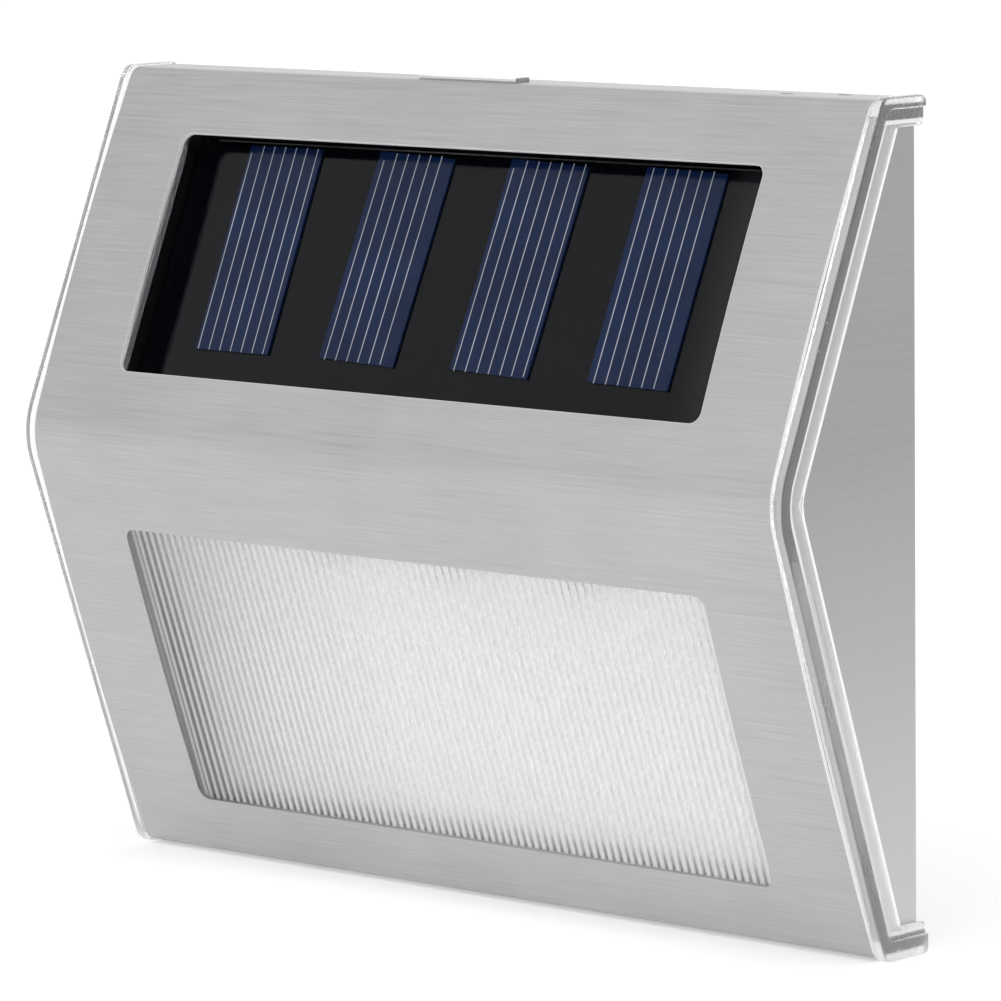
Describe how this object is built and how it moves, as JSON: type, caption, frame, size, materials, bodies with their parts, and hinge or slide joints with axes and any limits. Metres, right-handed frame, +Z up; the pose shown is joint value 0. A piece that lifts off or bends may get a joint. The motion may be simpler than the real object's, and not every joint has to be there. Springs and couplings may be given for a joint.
{
  "type": "solar step light",
  "caption": "Wall-mounted solar step light: folded brushed-steel front with a solar panel window above and a reeded clear lens below, clear end rims and a steel back with hanging keyholes.",
  "frame": {"origin": "middle of the wall face: half way along the width and the height, on the wall plane", "axes": "+X along the width, to the right as seen from the front; +Y into the wall; +Z up"},
  "size_m": [0.12, 0.0263, 0.0984],
  "materials": {
    "cover_steel": "fine horizontal brushing, satin",
    "back_steel": "plain rolled sheet, satin",
    "clear_plastic": "clear moulding, polished",
    "panel_black": "black laminate",
    "cell_blue": "dark blue silicon strips",
    "resin_clear": "clear cast resin, glossy",
    "foam_white": "closed-cell foam tape",
    "frame_white": "white moulding, satin",
    "board_green": "solder mask",
    "lamp_clear": "clear epoxy",
    "tinned_wire": "tinned",
    "chip_black": "moulded epoxy",
    "coil_green": "lacquered",
    "switch_case": "plated pressing",
    "knob_black": "moulded",
    "cell_sleeve": "plain shrink sleeve",
    "holder_black": "moulded",
    "contact_steel": "nickel plated",
    "wire_red": "insulation",
    "wire_black": "insulation",
    "screw_steel": "zinc plated",
    "sealant": "cured clear sealant with bubbles"
  },
  "bodies": {
    "housing": {"front_cover": "cover_steel", "clear_body": "clear_plastic", "panel_board": "panel_black", "solar_cells": "cell_blue", "panel_resin": "resin_clear", "panel_tape": "foam_white", "reflector": "frame_white", "circuit_board": "board_green", "leds": "lamp_clear", "led_leads": "tinned_wire", "driver_chip": "chip_black", "chip_legs": "tinned_wire", "inductor": "coil_green", "inductor_leads": "tinned_wire", "switch_body": "switch_case", "switch_pins": "tinned_wire", "battery_cell": "cell_sleeve", "battery_holder": "holder_black", "battery_plate": "contact_steel", "battery_spring": "contact_steel", "solar_lead_red": "wire_red", "solar_lead_black": "wire_black", "battery_lead_red": "wire_red", "battery_lead_black": "wire_black", "back_plate": "back_steel", "back_screws": "screw_steel", "frame_screws": "screw_steel", "board_screws": "screw_steel", "seal_beads": "sealant"},
    "knob": {"switch_knob": "knob_black"}
  },
  "joints": [
    {"name": "switch_slide", "type": "slide", "parent": "housing", "child": "knob", "axis": [1, 0, 0], "range_m": [0, 0.002]}
  ]
}
